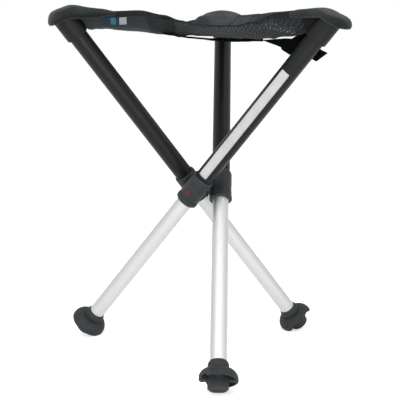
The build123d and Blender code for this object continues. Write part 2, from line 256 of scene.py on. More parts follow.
def tint(tree, factor, dark, light):
    ramp = tree.nodes.new("ShaderNodeValToRGB")
    ramp.color_ramp.elements[0].color = (*dark, 1)
    ramp.color_ramp.elements[1].color = (*light, 1)
    link(tree, (factor, ramp.inputs["Fac"]))
    return ramp.outputs["Color"]


def relief(tree, shader, height, depth, strength=1.0):
    bump = tree.nodes.new("ShaderNodeBump")
    bump.inputs["Strength"].default_value = strength
    bump.inputs["Distance"].default_value = depth
    link(tree, (height, bump.inputs["Height"]), (bump.outputs["Normal"], shader.inputs["Normal"]))


def threads(tree, vector, pitch, turn=0.0):
    """Parallel threads of a pitch, at a turn about the vertical."""
    turned = tree.nodes.new("ShaderNodeMapping")
    turned.inputs["Rotation"].default_value = (0, 0, turn)
    wave = tree.nodes.new("ShaderNodeTexWave")
    wave.inputs["Scale"].default_value = 2 * pi / (20 * pitch)
    wave.inputs["Distortion"].default_value = 0.6
    wave.inputs["Detail Scale"].default_value = 2.0
    link(tree, (vector, turned.inputs["Vector"]), (turned.outputs["Vector"], wave.inputs["Vector"]))
    return wave.outputs["Fac"]


def joined(tree, operation, first, second):
    sum_up = tree.nodes.new("ShaderNodeMath")
    sum_up.operation = operation
    link(tree, (first, sum_up.inputs[0]), (second, sum_up.inputs[1]))
    return sum_up.outputs[0]


def mottled(name, dark, light, rough, metal=0.0, leg=None, stretch=1.0, cloud=40.0, grain=900.0, depth=2e-5):
    """A moulded, coated or drawn surface: clouds in the colour and gloss, and a fine grain."""
    made, tree, shader = blank_finish(name, light, sum(rough) / 2, metal)
    vector = places(tree, leg, stretch)
    clouds = speckle(tree, vector, cloud, 3.0)
    grains = speckle(tree, vector, grain, 2.0)
    link(
        tree,
        (tint(tree, spread(tree, clouds, 0, 1), dark, light), shader.inputs["Base Color"]),
        (spread(tree, joined(tree, "ADD", clouds, grains), *rough, 0.7, 1.3), shader.inputs["Roughness"]),
    )
    relief(tree, shader, grains, depth, 0.6)
    return made, shader


def woven(name, dark, light, pitch, depth, sheen=0.25, turn=0.0, shade=None):
    """Cloth: crossing threads with slow clouds of wear, and painted shade where an attribute says so."""
    made, tree, shader = blank_finish(name, light, 0.85)
    vector = places(tree)
    warp = threads(tree, vector, pitch, turn)
    weft = threads(tree, vector, pitch, turn + pi / 2)
    weave = joined(tree, "MULTIPLY", warp, weft)
    clouds = speckle(tree, vector, 45.0, 4.0)
    fuzz = speckle(tree, vector, 1500.0, 2.0)
    colour = joined(tree, "ADD", spread(tree, clouds, 0.0, 0.6), spread(tree, weave, 0.0, 0.4, 0.0, 1.0))
    dyed = tint(tree, colour, dark, light)
    # painted shade: mixed towards a third of the dark colour where the attribute says
    if shade:
        level = tree.nodes.new("ShaderNodeAttribute")
        level.attribute_name = shade
        darker = tree.nodes.new("ShaderNodeMix")
        darker.data_type = "RGBA"
        darker.inputs["B"].default_value = (dark[0] * 0.3, dark[1] * 0.3, dark[2] * 0.3, 1)
        link(tree, (level.outputs["Fac"], darker.inputs["Factor"]), (dyed, darker.inputs["A"]))
        dyed = darker.outputs["Result"]
    link(
        tree,
        (dyed, shader.inputs["Base Color"]),
        (spread(tree, fuzz, 0.72, 0.95), shader.inputs["Roughness"]),
    )
    relief(tree, shader, joined(tree, "ADD", weave, spread(tree, fuzz, 0, 0.3)), depth, 0.8)
    shader.inputs["Specular IOR Level"].default_value = 0.12
    shader.inputs["Sheen Weight"].default_value = sheen
    shader.inputs["Sheen Roughness"].default_value = 0.5
    return made


# %% [markdown]
# The hard pieces: satin black coating on the upper tubes, anodised aluminium below, grained charcoal
# mouldings, matt rubber, glossy red buttons and bright steel inside. The legs need their own copies
# of the drawn finishes only, because the drawing lines turn with the leg.

# %% Finishes of the hard pieces
hard = {}
for key, leg in legs.items():
    coat, shader = mottled(
        "black_coat_" + key, (0.0058, 0.0064, 0.0070), (0.0088, 0.0096, 0.0104), (0.36, 0.44),
        leg=leg, stretch=6, cloud=30, grain=1400, depth=1.2e-5,
    )
    shader.inputs["Specular IOR Level"].default_value = 0.20
    hard["upper_tube_" + key] = coat
    silver, shader = mottled(
        "anodised_" + key, (0.53, 0.533, 0.531), (0.57, 0.573, 0.571), (0.46, 0.56), metal=1.0,
        leg=leg, stretch=40, cloud=500, grain=2600, depth=0.4e-5,
    )
    hard["lower_tube_" + key] = silver
charcoal, shader = mottled("grained_moulding", (0.020, 0.0235, 0.025), (0.032, 0.037, 0.039), (0.42, 0.58))
shader.inputs["Specular IOR Level"].default_value = 0.25
sleeve, shader = mottled("sleeve_moulding", (0.007, 0.0074, 0.0078), (0.012, 0.0126, 0.013), (0.44, 0.6))
shader.inputs["Specular IOR Level"].default_value = 0.18
rubber, shader = mottled(
    "matt_rubber", (0.016, 0.0185, 0.020), (0.031, 0.035, 0.037), (0.55, 0.75),
    cloud=70, grain=700, depth=4e-5,
)
shader.inputs["Specular IOR Level"].default_value = 0.3
bush, shader = mottled("slide_ring", (0.5, 0.5, 0.48), (0.62, 0.62, 0.6), (0.4, 0.55))
red, shader = mottled(
    "red_button", (0.22, 0.003, 0.005), (0.30, 0.005, 0.007), (0.16, 0.24), grain=500, depth=1e-5
)
shader.inputs["Specular IOR Level"].default_value = 0.15
shader.inputs["Coat Weight"].default_value = 0.10
shader.inputs["Coat Roughness"].default_value = 0.12
steel, shader = mottled("bright_steel", (0.45, 0.45, 0.46), (0.6, 0.6, 0.61), (0.22, 0.36), metal=1.0)
casting, shader = mottled(
    "coated_casting", (0.014, 0.015, 0.016), (0.026, 0.028, 0.03), (0.4, 0.6), depth=5e-5
)
for key in legs:
    hard["joint_housing_" + key] = charcoal
    hard["top_sleeve_" + key] = sleeve
    hard["end_plug_" + key] = sleeve
    hard["foot_" + key] = rubber
    hard["glide_bush_" + key] = bush
    hard["release_button_" + key] = red
    hard["snap_catch_" + key] = steel
hard["pivot_screws"] = steel
hard["hub_spider"] = casting
for name, made in hard.items():
    node = frame["nodes"][name]
    node.data.materials.clear()
    node.data.materials.append(made)
print("finished hard pieces:", len(hard))

# %% [markdown]
# The seat. Seen from above it is a triangle whose sides are shallow arcs, bowed inwards. Every soft piece
# is first cut flat and then lifted onto one height rule: the three hems have the heights that the picture
# shows, and between them the cloth falls away steeply from each hem into a slack belly. Cloth simulation
# could find a belly too, but the picture shows a frozen, creased one, so the heights are given.

# %% Hem arcs
HEM_OUT, HEM_BOW = 0.010, 0.026
HEM_PAIRS = ("ab", "bc", "ca")
# Heights of each hem, as share of the way and height
HEM_HEIGHTS = {
    "ab": (
        (0, 0.4500), (0.05, 0.4530), (0.10, 0.4542), (0.19, 0.4522), (0.29, 0.4536), (0.38, 0.4486),
        (0.44, 0.4428), (0.495, 0.4383), (0.57, 0.4372), (0.64, 0.4378), (0.72, 0.4428), (0.77, 0.4502),
        (0.80, 0.4542), (0.87, 0.4560), (0.93, 0.4560), (1, 0.4500),
    ),
    "bc": (
        (0, 0.4500), (0.08, 0.4560), (0.21, 0.4565), (0.38, 0.4553), (0.51, 0.4530), (0.70, 0.4515),
        (0.85, 0.4520), (1, 0.4490),
    ),
    "ca": (
        (0, 0.4490), (0.08, 0.4520), (0.15, 0.4513), (0.24, 0.4440), (0.32, 0.4414), (0.43, 0.4452),
        (0.555, 0.4485), (0.69, 0.4498), (0.81, 0.4516), (0.92, 0.4535), (1, 0.4500),
    ),
}


def smooth_step(value, start, stop):
    """Zero before the start, one after the stop, and a smooth run between them."""
    share = min(max((value - start) / (stop - start), 0), 1)
    return share * share * (3 - 2 * share)


def eased(table, place):
    """Value of a table at a place, with a smooth run between its rows."""
    for (first, low), (second, high) in zip(table, table[1:]):
        if place <= second:
            return low + (high - low) * smooth_step(place, first, second)
    return table[-1][1]


class Hem:
    def __init__(self, pair):
        first, second = legs[pair[0]].end.xy, legs[pair[1]].end.xy
        middle = (first + second) / 2
        run = (second - first).normalized()
        out = (middle - hub.xy).normalized()
        out = (out - run * out.dot(run)).normalized()
        half = (second - first).length / 2
        self.heights = HEM_HEIGHTS[pair]
        self.radius = (half**2 + HEM_BOW**2) / (2 * HEM_BOW)
        self.centre = middle + out * (HEM_OUT - HEM_BOW + self.radius)
        self.middle = middle + out * (HEM_OUT - HEM_BOW)
        self.run = run
        self.away = (self.middle - self.centre).normalized()
        self.span = 2 * atan2(half, self.radius - HEM_BOW)

    def share(self, point):
        """How far along the hem a point lies, from 0 to 1."""
        arm = point - self.centre
        return 0.5 + atan2(arm.dot(self.run), arm.dot(self.away)) / self.span

    def inside(self, point):
        """Distance of a point from the hem, towards the seat."""
        return (point - self.centre).length - self.radius

    def at(self, share, inside):
        """Point at a share of the hem and a distance inside it."""
        turn = (share - 0.5) * self.span
        return self.centre + (self.away * cos(turn) + self.run * sin(turn)) * (self.radius + inside)


hems = {pair: Hem(pair) for pair in HEM_PAIRS}

# %% [markdown]
# The height of a point is a mean of the three hem heights, weighed by nearness, less a sag that grows
# steeply behind each hem. The table of depths runs from left to right, and was read from the lower edge of
# the seat in the picture. Low ripples run out of the corners. The cloth lies on the leg ends, not in them.

# %% Height of the seat
DEPTHS = (
    (-0.165, 0.0365), (-0.140, 0.0345), (-0.122, 0.0250), (-0.110, 0.0222), (-0.080, 0.0218),
    (-0.050, 0.0245), (-0.020, 0.0224), (0.000, 0.0154), (0.020, 0.0151), (0.040, 0.0176), (0.060, 0.0191),
    (0.080, 0.0238), (0.100, 0.0314), (0.120, 0.0324), (0.140, 0.0300), (0.165, 0.0348),
)
FALL = 0.0105        # distance from a hem over which the cloth falls
ON_TUBE = 0.0162     # from a leg's axis to cloth that lies on its sleeve
TENT = 0.374         # slope of the cloth beside a leg's end
TENT_TOP = 0.0090    # the cloth's greatest height above the end of a tube's axis
RIPPLE = 0.0012
ways = {key: (leg.end.xy - hub.xy).normalized() for key, leg in legs.items()}
reach = (legs["a"].end.xy - hub.xy).length


def top_of_leg(point):
    """Height of cloth that lies on the slanted end of a leg and leaves it like a tent on both sides."""
    best = 0
    for leg in legs.values():
        out = leg.d.xy.normalized()
        arm = point - leg.end.xy
        aside, along = abs(arm.dot(leg.u.xy)), arm.dot(out)
        if aside < 0.05 and -0.05 < along < 0.012:
            leaves = 0.35 * ON_TUBE
            crown = (ON_TUBE**2 - min(aside, leaves) ** 2) ** 0.5 - TENT * max(aside - leaves, 0)
            axis = leg.end.z + along * leg.d.z / leg.d.xy.length
            best = max(best, min(axis + crown / leg.d.xy.length, leg.end.z + TENT_TOP))
    return best


def higher(first, second, blur=0.005):
    """The higher of two heights, with a soft crossing."""
    near = max(blur - abs(first - second), 0) / blur
    return max(first, second) + near * near * blur / 4


def seat_height(point):
    gaps = {pair: max(hem.inside(point), 0.0004) for pair, hem in hems.items()}
    weights = {pair: 1 / gap**2 for pair, gap in gaps.items()}
    level = sum(weights[pair] * eased(hems[pair].heights, hems[pair].share(point)) for pair in hems)
    level /= sum(weights.values())
    near = sum(gap**-3 for gap in gaps.values()) ** (-1 / 3)
    ripple = RIPPLE * noise.noise(Vector((point.x * 26, point.y * 26, 0.4)))
    arm = point - hub.xy
    for way in ways.values():
        along = arm.dot(way)
        bearing = atan2(arm.x * way.y - arm.y * way.x, reach + 0.02 - along)
        pull = min(max((along - 0.02) / 0.1, 0), 1) * min(max((reach - along) / 0.05, 0), 1)
        ripple += 0.75 * RIPPLE * pull * sin(bearing * 19 + 1.3)
    sag = eased(DEPTHS, point.x) * tanh(near / FALL)
    return higher(level - sag + ripple * min(near / 0.008, 1), top_of_leg(point))


print("height of the seat's middle", round(seat_height(hub.xy), 4))

# %% [markdown]
# Each soft seat piece is made once for every corner, from the corner out to the middle of its two hems.
# The seam between two corners lies where the cloth stays with the hub.


def new_piece(name, shape, finish, smooth=True):
    mesh = bpy.data.meshes.new(name)
    shape.to_mesh(mesh)
    shape.free()
    for face in mesh.polygons:
        face.use_smooth = smooth
    piece = bpy.data.objects.new(name, mesh)
    piece.data.materials.append(finish)
    bpy.context.scene.collection.objects.link(piece)
    return piece


def rounded(piece, levels=1):
    soft = piece.modifiers.new("rounding", "SUBSURF")
    soft.levels = soft.render_levels = levels
    soft.boundary_smooth = "PRESERVE_CORNERS"


def thickened(piece, thickness, offset=0.0):
    wall = piece.modifiers.new("thickness", "SOLIDIFY")
    wall.thickness = thickness
    wall.offset = offset
    wall.use_rim = True


def lift(shape, raised=0.0):
    """Puts a flat cut shape onto the seat; its own height is kept on top of the seat's."""
    for vert in shape.verts:
        vert.co.z += seat_height(vert.co.xy) + raised


def follow(piece):
    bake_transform(piece)


def sector_planes(key):
    """Outward directions of the two seams that bound a corner's share of the seat."""
    way = ways[key].to_3d()
    for turn in (150, -150):
        yield Matrix.Rotation(radians(turn), 3, "Z") @ way


# %% [markdown]
# The net in the middle is knitted from stout yarn, with square holes set on their points. A grid turned by
# an eighth of a turn has that lattice; every face is inset, its middle is taken out, and what is left
# are the strands. Three cuts keep one corner's share of it, and what lies past the hems is taken off.

# %% Net
CELL = 0.0034
# Half of a strand's width; the yarn spreads where the net is slack
YARN = {"a": 0.00078, "b": 0.00046, "c": 0.00078}
NET_EDGE = {"a": 0.120, "b": 0.158, "c": 0.138}   # from the hub's axis to the corner cloth
UNDER_HEM = 0.0008
net_yarn = woven("net_yarn", (0.020, 0.024, 0.026), (0.050, 0.060, 0.063), 0.0006, 1.2e-4, 0.15)
ROWS = 110


def lattice(yarn):
    net = bmesh.new()
    bmesh.ops.create_grid(net, x_segments=ROWS, y_segments=ROWS, size=CELL * ROWS / 2)
    strands = set(bmesh.ops.inset_individual(net, faces=net.faces[:], thickness=yarn)["faces"])
    bmesh.ops.delete(net, geom=[face for face in net.faces if face not in strands], context="FACES")
    bmesh.ops.rotate(net, verts=net.verts, cent=(0, 0, 0), matrix=Matrix.Rotation(pi / 4, 3, "Z"))
    bmesh.ops.translate(net, verts=net.verts, vec=(hub.x, hub.y, 0))
    return net


def cut_away(shape, place, direction):
    everything = shape.verts[:] + shape.edges[:] + shape.faces[:]
    bmesh.ops.bisect_plane(shape, geom=everything, plane_co=place, plane_no=direction, clear_outer=True)


def shortest(point):
    return min(hem.inside(point) for hem in hems.values())


def cut_size(shape, key):
    """Width, length and area of the flat cut for a sheet on the seat, which is larger than its plan."""
    way = ways[key]
    asides = [vert.co.x * way.y - vert.co.y * way.x for vert in shape.verts]
    alongs = [vert.co.xy.dot(way) for vert in shape.verts]
    shape.normal_update()
    area = sum(face.calc_area() for face in shape.faces)
    plan = sum(face.calc_area() * abs(face.normal.z) for face in shape.faces)
    growth = (area / plan) ** 0.5
    return (max(asides) - min(asides)) * growth, (max(alongs) - min(alongs)) * growth, area


nets, net_cuts = {}, {}
for key, way in ways.items():
    share = lattice(YARN[key])
    ground = hub.xy.to_3d()
    for direction in sector_planes(key):
        cut_away(share, ground, direction)
    cut_away(share, ground + way.to_3d() * (NET_EDGE[key] + UNDER_HEM), way.to_3d())
    outer = [face for face in share.faces if shortest(face.calc_center_median().xy) < UNDER_HEM]
    bmesh.ops.delete(share, geom=outer, context="FACES")
    bmesh.ops.remove_doubles(share, verts=share.verts, dist=1e-6)
    lift(share)
    wide, long, covered = cut_size(share, key)
    net_cuts[key] = (wide, long, covered / (1 - (1 - 2 * YARN[key] / CELL) ** 2))
    nets[key] = new_piece("seat_net_" + key, share, net_yarn)
    print("net", key, len(nets[key].data.polygons), "faces, cut", [round(x, 4) for x in net_cuts[key]])

# %% [markdown]
# Each corner has a panel of plain woven cloth between the net and the leg's end: the lower layer of the
# pocket that takes the leg. A grid is drawn to the panel's outline, row by row, then lifted onto the seat.
# Close to the leg it is painted darker, as shade under the hood; a value at each point tells the finish how
# much.

# %% Corner panels
# From the hub's axis; at a and c the net runs on under the panel
PANEL_START = {"a": 0.086, "b": 0.152, "c": 0.058}
PANEL_END = 0.178
PANEL_SHADE_LENGTH = {"a": 0.022, "b": 0.036, "c": 0.022}   # length of the painted shade under the hood, inwards from the tube's end
# Painted shade: the panel cloth is darkened by a per-point value towards the leg's end, under the hood.
panel_cloth = woven(
    "panel_cloth", (0.021, 0.0235, 0.025), (0.050, 0.055, 0.058), 0.0009, 2.2e-4, 0.12, 0.4, shade="panel_shade"
)


def edge_reach(key, along, sign):
    """Sideways distance from a corner's middle line to the hem."""
    way = ways[key]
    across = Vector((way.y, -way.x)) * sign
    low, high = 0.0, 0.2
    for _ in range(30):
        middle = (low + high) / 2
        if shortest(hub.xy + way * along + across * middle) > 0.002:
            low = middle
        else:
            high = middle
    return low


panels, panel_cuts = {}, {}
for key, way in ways.items():
    panel = bmesh.new()
    panel_shade = panel.verts.layers.float.new("panel_shade")
    bmesh.ops.create_grid(panel, x_segments=24, y_segments=36, size=1)
    start = PANEL_START[key]
    across = Vector((way.y, -way.x))
    for vert in panel.verts:
        along = start + (PANEL_END - start) * (vert.co.x + 1) / 2
        wide = edge_reach(key, along, 1) if vert.co.y > 0 else edge_reach(key, along, -1)
        # painted shade, rising towards the tube's end
        vert[panel_shade] = smooth_step(along, reach - PANEL_SHADE_LENGTH[key] - 0.005, reach - PANEL_SHADE_LENGTH[key] + 0.003)
        vert.co = (hub.xy + way * along + across * (vert.co.y * wide)).to_3d()
    lift(panel, 0.0004)
    panel_cuts[key] = cut_size(panel, key)
    bmesh.ops.recalc_face_normals(panel, faces=panel.faces)
    panels[key] = new_piece("corner_panel_" + key, panel, panel_cloth)
    print("panel", key, "cut", [round(x, 4) for x in panel_cuts[key]])

# %% [markdown]
# A folded tape binds every hem. A flattened ring is spun about the centre of the hem's arc, from the middle
# of the hem to the corner, and lifted with the rest. Where the front hem hangs low it has rolled inwards,
# and only a narrow edge of the tape shows; near leg b the tape is wider.

# %% Hem tapes
TAPE_THICK, TAPE_OUT, TAPE_IN = 0.0026, 0.0014, 0.0040
TAPE_ARC = 0.955
# Growth of the front hem's tape: rolled in where the hem hangs low, and wider towards leg b
TAPE_GROWTH = ((0, 1.0), (0.36, 1.0), (0.45, 0.4), (0.70, 0.4), (0.77, 1.0), (0.83, 1.75), (1.0, 1.75))
tape_cloth = woven("hem_tape", (0.009, 0.0105, 0.011), (0.024, 0.030, 0.031), 0.0007, 1.6e-4, 0.1)


def half_hem(shape, pair, turn):
    """Tape from the middle of a hem to one of its ends."""
    hem = hems[pair]
    away = hem.away.to_3d()
    ring = bmesh.ops.create_circle(shape, segments=14, radius=1)["verts"]
    for vert in ring:
        flat = Vector((abs(vert.co.x) ** 0.6 * (1 if vert.co.x > 0 else -1), vert.co.y))
        place = hem.middle.to_3d() + away * ((TAPE_IN - TAPE_OUT) / 2 + flat.x * (TAPE_IN + TAPE_OUT) / 2)
        vert.co = place + Vector((0, 0, flat.y * TAPE_THICK / 2))
    rim = list({edge for vert in ring for edge in vert.link_edges})
    bmesh.ops.spin(
        shape, geom=ring + rim, cent=hem.centre.to_3d(), axis=(0, 0, 1), steps=48,
        angle=turn * hem.span / 2 * TAPE_ARC,
    )


tapes = {}
for key in legs:
    tape = bmesh.new()
    for pair in HEM_PAIRS:
        if key in pair:
            hem = hems[pair]
            corner = legs[key].end.xy - hem.centre
            turn = 1 if hem.away.x * corner.y - hem.away.y * corner.x > 0 else -1
            half_hem(tape, pair, turn)
    bmesh.ops.holes_fill(tape, edges=[edge for edge in tape.edges if edge.is_boundary], sides=0)
    front = hems["ab"]
    for vert in tape.verts:
        depth = front.inside(vert.co.xy)
        if key != "c" and abs(depth) < 0.006:
            share = front.share(vert.co.xy)
            growth = eased(TAPE_GROWTH, share)
            vert.co.xy = front.at(share, depth * growth)
            vert.co.z *= min(growth, 1)
    lift(tape)
    bmesh.ops.recalc_face_normals(tape, faces=tape.faces)
    tapes[key] = new_piece("hem_tape_" + key, tape, tape_cloth)
print("tapes", [len(piece.data.polygons) for piece in tapes.values()])

# %% [markdown]
# A row of stitches holds each tape, and shows on both of its faces. One stitch is a small ball drawn out
# along the hem; it has few faces, because there are hundreds of them. Where the hem has rolled in, the
# row is hidden inside the roll and isn't made.

# %% Stitches
STITCH_PITCH, STITCH_DEPTH = 0.0034, 0.0029
STITCH = (0.0023, 0.00045, 0.00045)   # length, width, height
thread = woven("thread", (0.045, 0.052, 0.054), (0.085, 0.095, 0.098), 0.0004, 5e-5, 0.1)


def stitch_row(shape, pair, from_share, to_share):
    hem = hems[pair]
    steps = int(abs(to_share - from_share) * hem.span * hem.radius / STITCH_PITCH)
    for step in range(1, steps):
        share = from_share + (to_share - from_share) * step / steps
        growth = eased(TAPE_GROWTH, share) if pair == "ab" else 1
        if growth < 0.95:
            continue
        place = hem.at(share, STITCH_DEPTH * growth)
        run = hem.at(share + 0.002, STITCH_DEPTH * growth) - hem.at(share - 0.002, STITCH_DEPTH * growth)
        turn = Matrix.Rotation(atan2(run.y, run.x), 4, "Z")
        for face in (1, -1):
            ball = bmesh.ops.create_uvsphere(shape, u_segments=6, v_segments=4, radius=0.5)["verts"]
            bmesh.ops.scale(shape, verts=ball, vec=STITCH)
            bmesh.ops.rotate(shape, verts=ball, cent=(0, 0, 0), matrix=turn)
            height = seat_height(place) + face * TAPE_THICK * 0.47
            bmesh.ops.translate(shape, verts=ball, vec=(place.x, place.y, height))


stitches = {}
for key in legs:
    sewing = bmesh.new()
    for pair in HEM_PAIRS:
        if key in pair:
            end = 0.5 + 0.5 * TAPE_ARC * (1 if pair[1] == key else -1)
            stitch_row(sewing, pair, 0.5, end)
    stitches[key] = new_piece("hem_stitches_" + key, sewing, thread)
    print("stitches", key, len(stitches[key].data.polygons), "faces")

# %% [markdown]
# The hoods are the upper layer of the corner pockets. Each is a cap over the leg's end that runs inwards
# along the seat. Half of the cap is a profile spun through half a turn; the two open sides are drawn
# inwards, station by station. Tables give the height of the top and of the lower edge, from the inner end
# (below zero) to the outer tip, with zero over the tube's end. The lower edge and the outer tip are painted
# darker, as shade.

# %% Hoods
# Painted shade: the hood cloth is darkened by a per-point value on its lower skirt and its tip.
hood_cloth = woven(
    "hood_cloth", (0.014, 0.0175, 0.0180), (0.042, 0.050, 0.052), 0.0010, 2.4e-4, 0.2, 0.2, shade="hood_shade"
)
HOOD_CROWN = {"a": 0.0016, "b": 0.0016, "c": 0.0066}   # drop from the middle to the side
SKIRT_SHADE = {"a": 0.75, "b": 0.30, "c": 0.50}            # how dark the lower skirt is painted, as shade; lighter at b
TIP_SHADE = {"a": 0.30, "b": 0.45, "c": 0.0}           # how dark the tip is painted, as shade
HOOD_HALF = {"a": 0.0200, "b": 0.0200, "c": 0.0310}    # the rear one spreads into the hems
HOOD_TIP = {"a": 0.0165, "b": 0.0245, "c": 0.0190}
HOOD_INNER = {"a": 0.060, "b": 0.044, "c": 0.072}
HOOD_TOP = {
    "a": (
        (-0.060, 0.4545), (-0.043, 0.4562), (-0.023, 0.4576), (-0.015, 0.4580), (-0.009, 0.4582),
        (-0.004, 0.4563), (0.003, 0.4536), (0.0080, 0.4514), (0.0120, 0.4494), (0.0145, 0.4470),
        (0.0165, 0.4430),
    ),
    "b": (
        (-0.044, 0.4570), (-0.020, 0.4584), (-0.013, 0.4584), (-0.009, 0.4582), (-0.004, 0.4558),
        (0.004, 0.4522), (0.0105, 0.4498), (0.0165, 0.4474), (0.0215, 0.4450), (0.0245, 0.4415),
    ),
    "c": (
        (-0.072, 0.4500), (-0.050, 0.4530), (-0.035, 0.4548), (-0.020, 0.4573), (-0.009, 0.4582),
        (-0.003, 0.4562), (0.003, 0.4540), (0.0085, 0.4518), (0.0135, 0.4494), (0.0165, 0.4470),
        (0.0190, 0.4430),
    ),
}
HOOD_EDGE = {
    "a": (
        (-0.060, 0.4480), (-0.035, 0.4445), (-0.018, 0.4432), (-0.005, 0.4428), (0.003, 0.4405),
        (0.0115, 0.4352), (0.0165, 0.4335),
    ),
    "b": (
        (-0.044, 0.4480), (-0.020, 0.4482), (-0.006, 0.4485), (0.0066, 0.4425), (0.0165, 0.4360),
        (0.0245, 0.4345),
    ),
    "c": (
        (-0.072, 0.4440), (-0.030, 0.4455), (-0.010, 0.4440), (0.003, 0.4405), (0.0125, 0.4352),
        (0.0190, 0.4335),
    ),
}
# From the middle of the hood to its rolled lower edge, as shares of its half width and of its skirt
HOOD_PROFILE = (
    (0, 0), (0.22, 0), (0.44, 0), (0.64, 0), (0.78, 0.01), (0.88, 0.05), (0.945, 0.14), (0.985, 0.30),
    (1.0, 0.52), (0.99, 0.74), (0.955, 0.90), (0.90, 0.985), (0.84, 1.0),
)
STATIONS = 14
PAST_HEM = 0.0046               # how far the hood's sides reach past the hems
NARROWS = (-0.034, -0.004)      # where the sides leave the hems
SEWN_TO = -0.016                # outer end of the seam that holds the hood on the seat
DIVE = 0.014                    # over this length the inner end goes down to the seat
LEAST_SKIRT, DENT = 0.004, 0.0003


def hood_shape(key):
    way = ways[key]
    across = Vector((way.y, -way.x))
    tip, inner = HOOD_TIP[key], HOOD_INNER[key]
    shape = bmesh.new()
    drop = shape.verts.layers.float.new("drop")
    hood_shade = shape.verts.layers.float.new("hood_shade")
    profile = [shape.verts.new((0, wide, 0)) for wide, _ in HOOD_PROFILE]
    for vert, (_, low) in zip(profile, HOOD_PROFILE):
        vert[drop] = low
        # painted shade on the lower skirt
        vert[hood_shade] = SKIRT_SHADE[key] * smooth_step(low, 0.40, 0.70)
    lines = [shape.edges.new(pair) for pair in zip(profile, profile[1:])]
    turned = bmesh.ops.spin(
        shape, geom=profile + lines, cent=(0, 0, 0), axis=(0, 0, 1), angle=-pi, steps=26
    )["geom_last"]
    last = [item for item in turned if isinstance(item, bmesh.types.BMEdge)]
    for open_side in (lines, last):
        for _ in range(STATIONS):
            drawn = bmesh.ops.extrude_edge_only(shape, edges=open_side)["geom"]
            bmesh.ops.translate(
                shape, verts=[item for item in drawn if isinstance(item, bmesh.types.BMVert)], vec=(-1, 0, 0)
            )
            open_side = [item for item in drawn if isinstance(item, bmesh.types.BMEdge)]
            open_side = [edge for edge in open_side if abs(edge.verts[0].co.x - edge.verts[1].co.x) < 0.5]
    bmesh.ops.remove_doubles(shape, verts=shape.verts, dist=1e-5)
    for vert in shape.verts:
        aside = vert.co.y
        if vert.co.x > -0.01:
            out, half = vert.co.x * tip, HOOD_HALF[key]
        else:
            out = vert.co.x / STATIONS * inner
            hem_half = edge_reach(key, reach + out, 1 if aside > 0 else -1) + PAST_HEM
            half = hem_half + (HOOD_HALF[key] - hem_half) * smooth_step(out, *NARROWS)
        place = legs[key].end.xy + way * out + across * (aside * half)
        top = eased(HOOD_TOP[key], out) - HOOD_CROWN[key] * aside**2
        sewn = 1 - smooth_step(out, -inner, SEWN_TO)
        raised = (0.0016 + 0.0014 * aside**4) * (1 - smooth_step(-out, inner - DIVE, inner))
        top += (seat_height(place) + raised - top) * sewn
        skirt = max(top - eased(HOOD_EDGE[key], out), LEAST_SKIRT)
        dent = noise.noise(Vector((place.x * 70, place.y * 70, vert[drop] * 1.5)))
        # painted shade on the outer tip
        vert[hood_shade] = max(vert[hood_shade], TIP_SHADE[key] * smooth_step(out, -0.010, 0.006))
        vert.co = place.to_3d()
        vert.co.z = top - skirt * vert[drop] + DENT * dent
    bmesh.ops.recalc_face_normals(shape, faces=shape.faces)
    return shape


hoods = {}
for key in legs:
    hood = new_piece("hood_" + key, hood_shape(key), hood_cloth)
    rounded(hood, 1)
    thickened(hood, 0.0012, -1.0)
    hoods[key] = hood
    print("hood", key, len(hood.data.polygons), "faces")

# %% [markdown]
# A small woven tab is sewn to the panel under the front hem, near leg a: a strip of ribbon with plain bands.

# %% Woven tab
TAB_SHARES, TAB_DEPTHS = (0.163, 0.242), (0.0036, 0.0090)
tab_weave, tree, shader = blank_finish("tab_ribbon", (0.2, 0.25, 0.3), 0.7)
bands = tree.nodes.new("ShaderNodeValToRGB")
bands.color_ramp.interpolation = "CONSTANT"
NAVY, TEAL, PALE = (0.02, 0.035, 0.07), (0.04, 0.16, 0.19), (0.36, 0.38, 0.39)
bands.color_ramp.elements[1].position = 0.66
bands.color_ramp.elements.new(0.26)
bands.color_ramp.elements.new(0.50)
for step, colour in zip(bands.color_ramp.elements, (NAVY, TEAL, NAVY, PALE)):
    step.color = (*colour, 1)
lengthwise = tree.nodes.new("ShaderNodeAttribute")
lengthwise.attribute_name = "lengthwise"
link(
    tree,
    (lengthwise.outputs["Fac"], bands.inputs["Fac"]),
    (bands.outputs["Color"], shader.inputs["Base Color"]),
)
relief(tree, shader, threads(tree, places(tree), 0.0006), 1e-4, 0.6)
shader.inputs["Specular IOR Level"].default_value = 0.15
tab = bmesh.new()
lengths = tab.verts.layers.float.new("lengthwise")
bmesh.ops.create_grid(tab, x_segments=22, y_segments=6, size=1)
for vert in tab.verts:
    along, down = (vert.co.x + 1) / 2, (vert.co.y + 1) / 2
    share = TAB_SHARES[0] + (TAB_SHARES[1] - TAB_SHARES[0]) * along
    depth = TAB_DEPTHS[0] + (TAB_DEPTHS[1] - TAB_DEPTHS[0]) * down
    place = hems["ab"].at(share, depth)
    vert.co = hems["ab"].at(share, depth - 0.0016).to_3d()
    vert.co.z = seat_height(place) - 0.0008
    vert[lengths] = along
bmesh.ops.recalc_face_normals(tab, faces=tab.faces)
woven_tab = new_piece("woven_tab", tab, tab_weave)
rounded(woven_tab, 1)
thickened(woven_tab, 0.0005)

# %% [markdown]
# A pale vinyl strip runs along the front of leg b. A grid is bent round the tube and gets a thickness; its
# four corner points are drawn in first, so that the corners look clipped.

